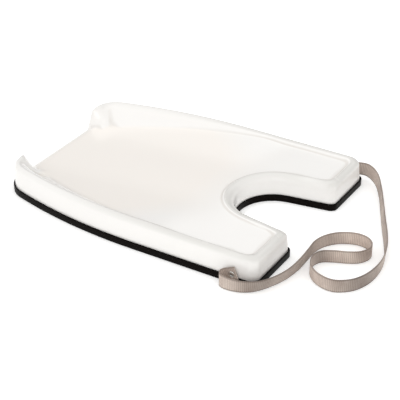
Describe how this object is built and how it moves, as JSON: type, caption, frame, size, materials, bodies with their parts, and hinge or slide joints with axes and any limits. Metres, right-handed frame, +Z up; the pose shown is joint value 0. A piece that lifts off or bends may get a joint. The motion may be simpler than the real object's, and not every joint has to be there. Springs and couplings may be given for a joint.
{
  "type": "hair-washing tray",
  "caption": "Formed plastic hair-washing tray with a neck cut-out, sloping basin, pouring spout, push-on edging and a riveted webbing strap.",
  "frame": {"origin": "on the table, under the centre of the tray's outline over the edging, leaving out the free strap", "axes": "+X from the pouring spout to the shoulder ends, +Z up, +Y to the left of someone looking from the spout to the shoulders"},
  "size_m": [0.6307, 0.4072, 0.05],
  "materials": {
    "tray_plastic": "smooth, softly glossy off-white",
    "edging_rubber": "satin black",
    "webbing": "woven, taupe",
    "rivet_metal": "drawn, dull",
    "pin_steel": "bright zinc, snapped end",
    "spacer_plastic": "natural nylon"
  },
  "bodies": {
    "tray": {"tray_shell": "tray_plastic", "edge_trim": "edging_rubber", "strap_webbing": "webbing", "near_rivet": "rivet_metal", "far_rivet": "rivet_metal", "near_rivet_pin": "pin_steel", "far_rivet_pin": "pin_steel", "near_spacer_washer": "spacer_plastic", "far_spacer_washer": "spacer_plastic", "near_backing_washer": "rivet_metal", "far_backing_washer": "rivet_metal"},
    "near_strap_end": {"near_strap_end": "webbing"},
    "far_strap_end": {"far_strap_end": "webbing"}
  },
  "joints": [
    {"name": "near_strap_pivot", "type": "hinge", "parent": "tray", "child": "near_strap_end", "pos_m": [0.208, -0.1833, 0.017], "axis": [0, -0.9986, 0.0523], "range_deg": [-60, 5], "deforming": ["strap_webbing"]},
    {"name": "far_strap_pivot", "type": "hinge", "parent": "tray", "child": "far_strap_end", "pos_m": [0.208, 0.1833, 0.017], "axis": [0, 0.9986, 0.0523], "range_deg": [-60, 10], "deforming": ["strap_webbing"]}
  ]
}
